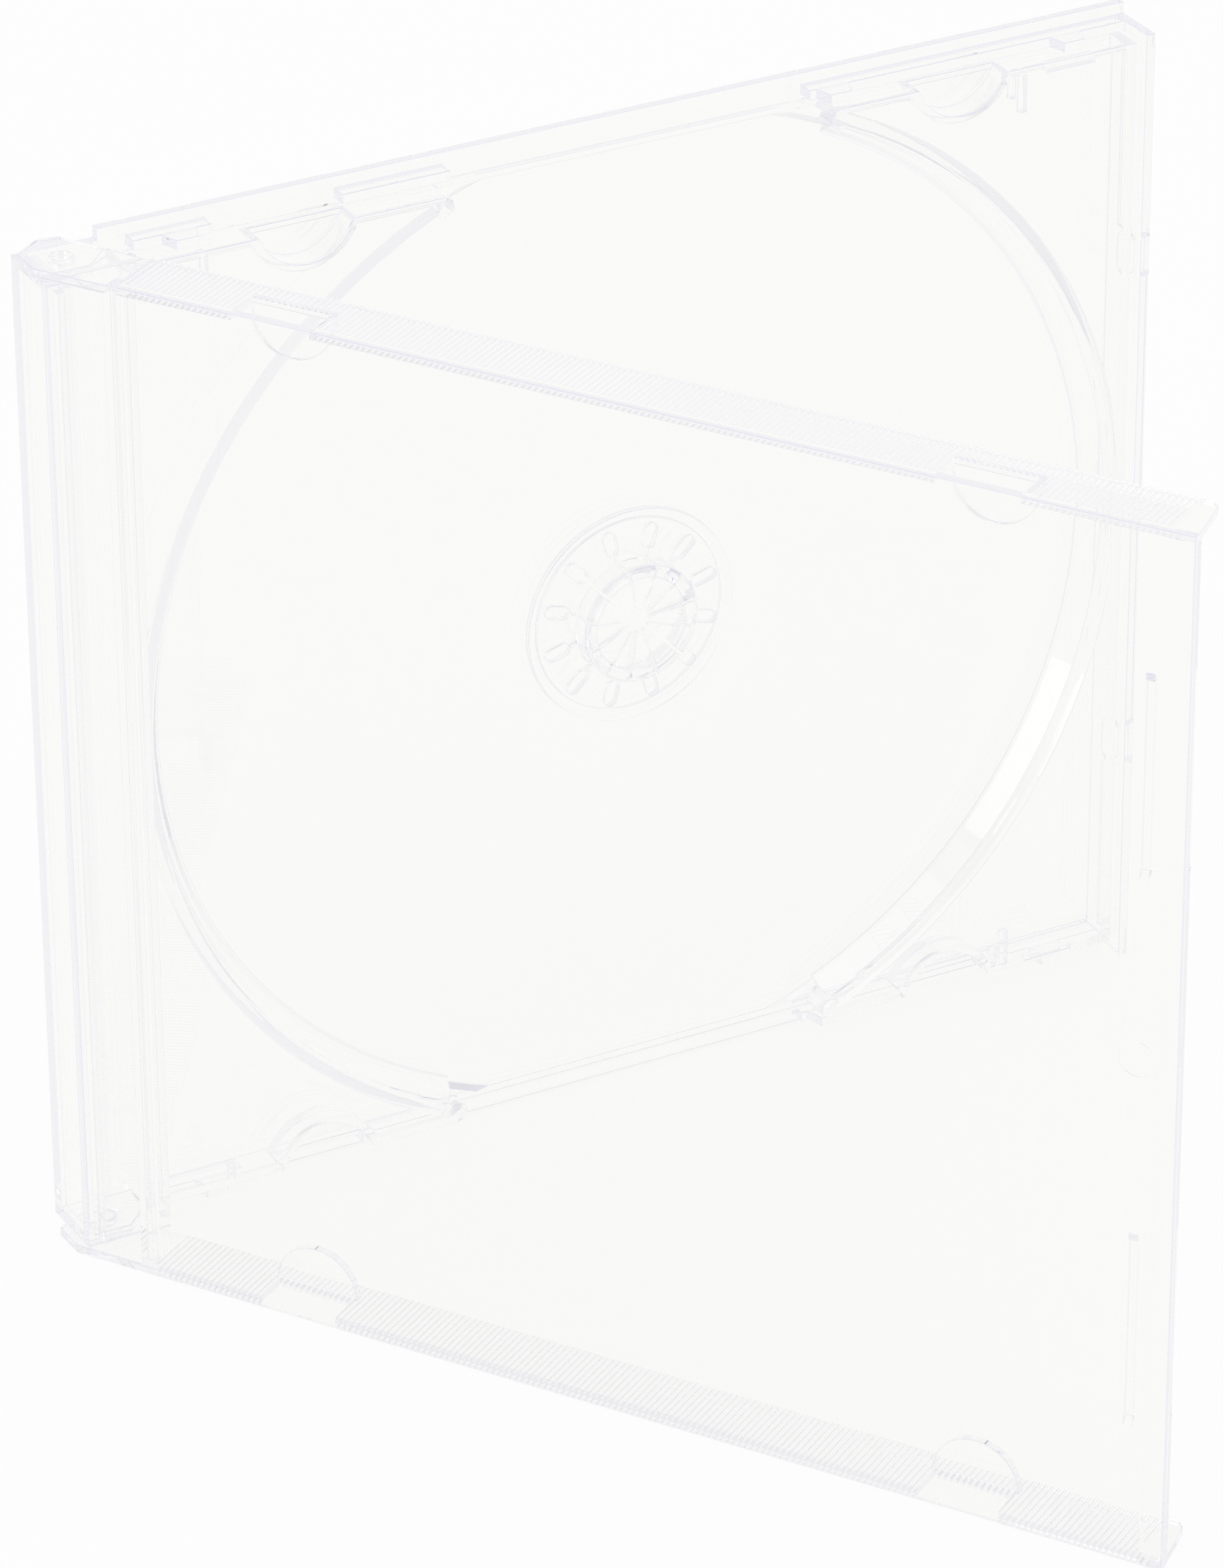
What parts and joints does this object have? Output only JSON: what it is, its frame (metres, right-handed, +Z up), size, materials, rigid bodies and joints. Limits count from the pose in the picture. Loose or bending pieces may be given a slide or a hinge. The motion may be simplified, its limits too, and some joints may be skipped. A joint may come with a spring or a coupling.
{
  "type": "cd jewel case",
  "caption": "Clear rigid plastic case for one compact disc, hinged along one side, with a ribbed-edge lid, a back cover and a clear tray with a slotted gripping hub.",
  "frame": {"origin": "on the hinge axis, in the plane that the case stands on, at the flat underside of the lid's lower hinge arm", "axes": "+Z up the hinge, +X from the hinge along the back cover, -Y out of the back cover's open inside"},
  "size_m": [0.1424, 0.1233, 0.125],
  "materials": {
    "lid_clear": "clear polished polystyrene",
    "back_clear": "clear polished polystyrene",
    "tray_clear": "clear polished polystyrene"
  },
  "bodies": {
    "back": {"back_cover": "back_clear", "disc_tray": "tray_clear"},
    "lid": {"front_lid": "lid_clear"}
  },
  "joints": [
    {"name": "lid_hinge", "type": "hinge", "parent": "back", "child": "lid", "pos_m": [0, 0, 0.0625], "axis": [0, 0, -1], "range_deg": [-57, 123]}
  ]
}
